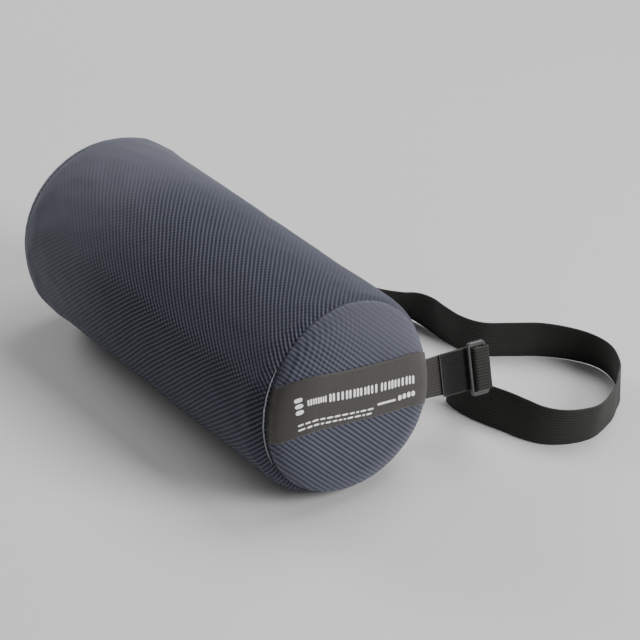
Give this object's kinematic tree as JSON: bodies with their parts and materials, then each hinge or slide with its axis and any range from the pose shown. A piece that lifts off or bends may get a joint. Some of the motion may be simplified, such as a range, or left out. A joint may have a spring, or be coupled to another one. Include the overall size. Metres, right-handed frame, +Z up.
{
  "type": "lumbar roll",
  "caption": "Foam cylinder back-support cushion in a ribbed knit cover with rounded sewn ends, a label tape, and an elastic strap held by a small slide buckle.",
  "frame": {"origin": "on the resting plane, under the middle of the roll", "axes": "+X along the roll towards the labelled end, +Y towards the side the strap lies on, +Z up"},
  "size_m": [0.3104, 0.2603, 0.1188],
  "materials": {
    "foam": "open-cell foam, matte",
    "knit_cover": "ribbed knit, soft matte",
    "thread": "spun polyester thread, matte",
    "label_tape": "woven tape, low sheen",
    "elastic": "woven elastic webbing, matte",
    "black_plastic": "moulded, satin"
  },
  "bodies": {
    "roll": {"foam_core": "foam", "cover_sleeve": "knit_cover", "cover_end_near": "knit_cover", "cover_end_far": "knit_cover", "seam_thread_near": "thread", "seam_thread_far": "thread", "sleeve_seam_thread": "thread", "label_tape": "label_tape"},
    "strap": {"anchor_tab": "elastic", "elastic_strap": "elastic"},
    "slide": {"slide_buckle": "black_plastic"}
  },
  "joints": [
    {"name": "strap_swing", "type": "hinge", "parent": "roll", "child": "strap", "pos_m": [0, 0.0602, 0.066], "axis": [1, 0, 0], "range_deg": [0, 90]},
    {"name": "slide_rock", "type": "hinge", "parent": "strap", "child": "slide", "pos_m": [0.132, 0.0868, 0.0522], "axis": [-0.2554, 0.0418, 0.9659], "range_deg": [-5, 5]}
  ]
}
